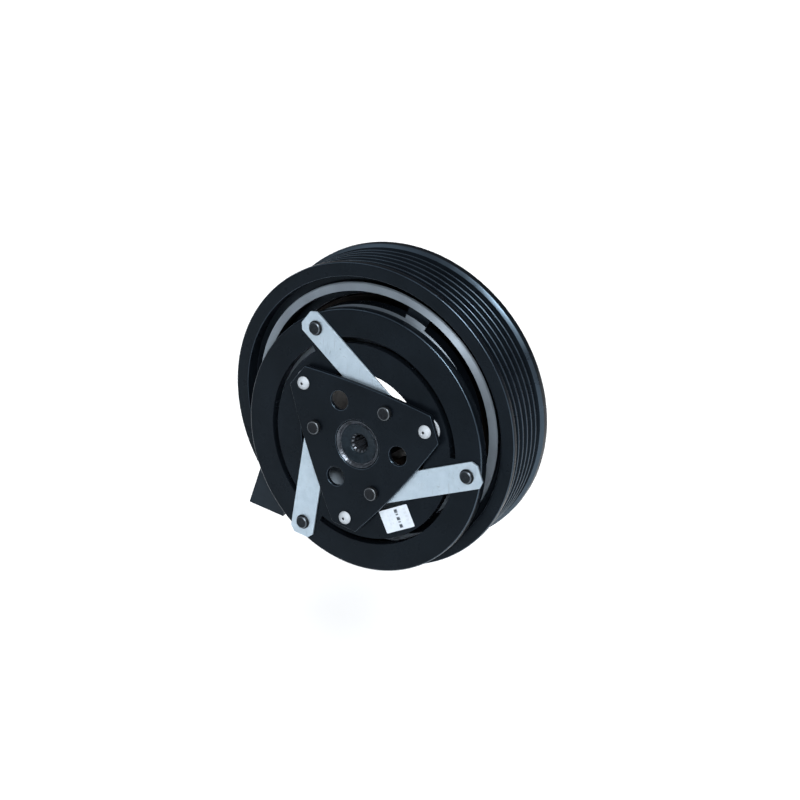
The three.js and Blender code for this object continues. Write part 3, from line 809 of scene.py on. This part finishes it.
def label_paper():
    """Pale paper with a row of dark dashes down the middle and faint bars beside it."""
    m = Mat("paper", (0.80, 0.82, 0.84), 0.55)
    turn = LABEL.to_3x3()
    place = [m.node("ShaderNodeVectorMath", {0: m.coords(), 1: turn @ Vector(way) * 1000}, out="Value",
                    operation="DOT_PRODUCT") for way in ((1, 0, 0), (0, 0, 1))]

    def bars(spots, soft=0.12):
        total = None
        for x, z, wide, high in spots:
            off = [m.math("ABSOLUTE", m.math("SUBTRACT", p, c)) for p, c in zip(place, (x, z))]
            inside = m.math("MULTIPLY", m.ramp(off[0], wide / 2 - soft, wide / 2 + soft, 1, 0),
                            m.ramp(off[1], high / 2 - soft, high / 2 + soft, 1, 0))
            total = inside if total is None else m.math("MAXIMUM", total, inside)
        return total

    worn = m.ramp(m.noise(1400, 3), 0.3, 0.55, 0.55, 1)
    dashes = [(0.9, 3.1, 1.5, 1.5), (0.9, 1.7, 1.2, 0.6), (0.9, 0.0, 1.6, 1.3), (0.9, -1.4, 1.2, 0.6),
              (0.9, -3.1, 1.5, 1.5)]
    faint = [(4.9, z, 1.3, 0.9) for z in (3.1, 1.6, 0.1, -1.4, -2.9)]
    faint += [(2.3, z, 0.35, 0.5) for z in (1.2, 0.1, -1.0)]
    faint += [(-3.4, z, 0.6, 0.7) for z in (1.9, 0.3, -1.3)] + [(-2.1, z, 0.6, 0.7) for z in (1.9, 0.3, -1.3)]
    grain = m.mix(m.ramp(m.noise(500, 4), 0.3, 0.7), (0.50, 0.56, 0.63), (0.56, 0.62, 0.69))
    pale = m.mix(m.math("MULTIPLY", m.math("MULTIPLY", bars(faint), worn), 0.32), grain, (0.36, 0.38, 0.41))
    m.color(m.mix(m.math("MULTIPLY", bars(dashes), worn), pale, (0.015, 0.025, 0.04)))
    m.bump(m.noise(900, 4), 0.004)
    return m.material


corners = rounded([(-6.85, -4.65), (6.85, -4.65), (6.85, 4.65), (-6.85, 4.65)], 0.5, 5)
make("armature_label_skin", plate(corners, [], -0.205, -0.055, 0.03, 1), label_paper(), "armature",
     ["armature_label"], LABEL)

# ---------------------------------------------------------------- connector, carried over from the CAD model

CARRIED = {"connector_housing": PLASTIC, "connector_terminal_1": BRASS, "connector_terminal_2": BRASS}
for node, material in CARRIED.items():
    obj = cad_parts[node]
    obj.data.materials.clear()
    obj.data.materials.append(material)

# ---------------------------------------------------------------- air-gap shims

SHIM_CENTRE = 18.3
pivot = Matrix.Translation((HUB @ (Vector((0, SHIM_CENTRE, 0)) * MM)))


def shim(front):
    return lathe(rounded([(5.3, front), (6.7, front), (6.7, front + 0.5), (5.3, front + 0.5)], 0.1, 2), 96)


make("air_gap_shim_skin_1", shim(-0.25), BEARING_STEEL, "shim_carrier", ["air_gap_shim_1"],
     pivot)
make("air_gap_shim_skin_2", shim(SHIM_CENTRE + 1.1), BEARING_STEEL, "tilt_carrier", ["air_gap_shim_2"],
     HUB)

# ---------------------------------------------------------------- floor, light, camera

floor_z = cad_low[2] - 0.3
bpy.ops.mesh.primitive_circle_add(vertices=96, radius=6, fill_type="NGON", location=(0, 0, floor_z))
floor = bpy.context.object
floor.name = "floor"
floor.data.materials.append(Mat("floor_white", (0.93, 0.93, 0.93), 0.9).material)

world = bpy.data.worlds.new("studio")
bpy.context.scene.world = world
world.use_nodes = True
world.node_tree.nodes["Background"].inputs[0].default_value = (0.93, 0.96, 1.0, 1)
world.node_tree.nodes["Background"].inputs[1].default_value = 0.14


def softbox(name, place, target, size, power, color=(1, 1, 1)):
    light = bpy.data.lights.new(name, "AREA")
    light.shape = "RECTANGLE"
    light.size, light.size_y = size
    light.energy = power
    light.color = color
    obj = bpy.data.objects.new(name, light)
    bpy.context.scene.collection.objects.link(obj)
    obj.location = place
    obj.rotation_euler = (Vector(target) - Vector(place)).to_track_quat("-Z", "Y").to_euler()
    return obj


def distant_light(name, energy, spread, direction):
    """A far soft light that shines from a direction."""
    light = bpy.data.lights.new(name, "SUN")
    light.energy = energy
    light.angle = radians(spread)
    light.color = (0.97, 0.985, 1.0)
    obj = bpy.data.objects.new(name, light)
    bpy.context.scene.collection.objects.link(obj)
    obj.rotation_euler = (-Vector(direction)).to_track_quat("-Z", "Y").to_euler()


softbox("fill", (-1.1, -0.9, 0.9), (0, 0, 0), (0.9, 0.9), 3, (0.88, 0.94, 1.0))
distant_light("key", 2.6, 14, (0.55, -0.25, 1.0))
distant_light("front", 2.9, 14, (0.45, -0.65, 0.60))

SENSOR_WIDTH = 36
FOCAL_RATIO = 1615 / 800  # focal length over image width
CAMERA_DISTANCE = 625.0
SHIFT_RIGHT, SHIFT_DOWN = -11.9, 7.0  # where the model's origin stands from the picture's middle

camera_data = bpy.data.cameras.new("camera")
camera_data.sensor_width = SENSOR_WIDTH
camera_data.lens = FOCAL_RATIO * SENSOR_WIDTH
camera = bpy.data.objects.new("camera", camera_data)
bpy.context.scene.collection.objects.link(camera)
right = Vector((0.86301, 0.50518, 0.0))
up = Vector((-0.20172, 0.34461, 0.91682))
ahead = Vector((-0.46316, 0.79122, -0.39931))
basis = Matrix((right, up, -ahead)).transposed()
centre = (SHIFT_RIGHT * right + SHIFT_DOWN * -up + CAMERA_DISTANCE * ahead) * MM
camera.matrix_world = Matrix.Translation(-centre) @ basis.to_4x4()
bpy.context.scene.camera = camera
bpy.context.scene.view_settings.view_transform = "Standard"
